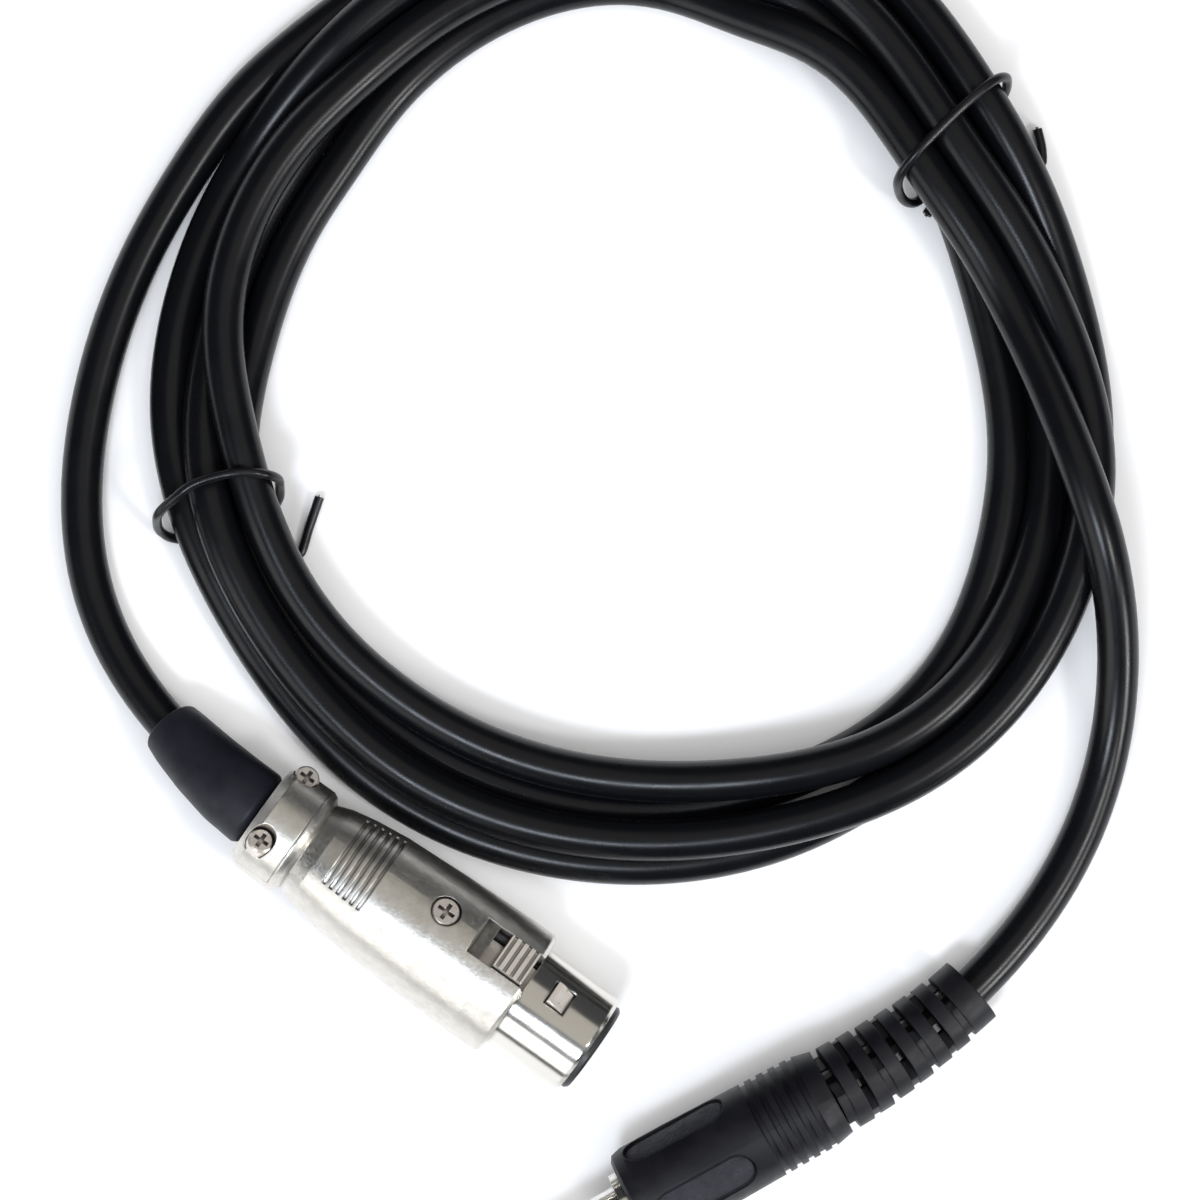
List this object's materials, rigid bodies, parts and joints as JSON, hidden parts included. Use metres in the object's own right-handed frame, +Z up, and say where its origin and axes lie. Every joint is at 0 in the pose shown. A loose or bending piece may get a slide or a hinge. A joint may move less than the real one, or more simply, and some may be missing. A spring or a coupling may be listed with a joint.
{
  "type": "microphone lead",
  "caption": "Coiled microphone lead with a latching female three-pole connector, a moulded quarter-inch plug and wire ties holding the round coil.",
  "frame": {"origin": "on the table under the middle of the connectors' and ties' box", "axes": "+Z up from the table, +Y from the connectors towards the coil"},
  "size_m": [0.154, 0.2031, 0.0207],
  "materials": {
    "nickel_casting": "satin nickel plate over a fine-grained zinc casting",
    "latch_nickel": "satin nickel plate, edges worn bright",
    "insert_plastic": "moulded black, slight sheen",
    "contact_metal": "gold-flashed, polished",
    "spring_steel": "plain spring steel",
    "screw_steel": "nickel-plated, machined cross recess",
    "boot_rubber": "matte charcoal rubber",
    "cable_jacket": "glossy black flexible PVC",
    "core_red": "red insulation",
    "core_white": "white insulation",
    "copper_strand": "bare stranded copper",
    "grip_pvc": "moulded black PVC, grained panels",
    "inner_mould": "natural polyethylene",
    "plug_nickel": "polished nickel plate",
    "insulator_plastic": "black insulating plastic",
    "tie_pvc": "black PVC sheath",
    "tie_steel": "cut ends of galvanised wire"
  },
  "bodies": {
    "lead": {"xlr_shell": "nickel_casting", "clamp_saddle": "nickel_casting", "xlr_insert": "insert_plastic", "contact_1": "contact_metal", "contact_2": "contact_metal", "contact_3": "contact_metal", "latch_spring": "spring_steel", "insert_screw": "screw_steel", "clamp_screws": "screw_steel", "cable_boot": "boot_rubber", "xlr_cable_end": "cable_jacket", "core_red": "core_red", "core_white": "core_white", "shield_drain": "copper_strand", "jack_body": "grip_pvc", "jack_inner_mould": "inner_mould", "jack_sleeve": "plug_nickel", "jack_insulator": "insulator_plastic", "jack_tip": "plug_nickel", "jack_sleeve_lug": "plug_nickel", "jack_core": "core_red", "jack_shield": "copper_strand", "jack_cable_end": "cable_jacket", "cable_tail_xlr": "cable_jacket", "cable_coil": "cable_jacket", "cable_tail_jack": "cable_jacket", "tie_left_sheath": "tie_pvc", "tie_right_sheath": "tie_pvc", "tie_left_wire": "tie_steel", "tie_right_wire": "tie_steel"},
    "latch": {"latch_lever": "latch_nickel"}
  },
  "joints": [
    {"name": "latch_press", "type": "hinge", "parent": "lead", "child": "latch", "pos_m": [-0.01688, -0.03488, 0.01504], "axis": [0.5127, 0.7188, -0.4695], "range_deg": [0, 4], "stiffness_Nm_per_rad": 0.25, "springref_deg": -2.01, "deforming": ["latch_spring"]}
  ]
}
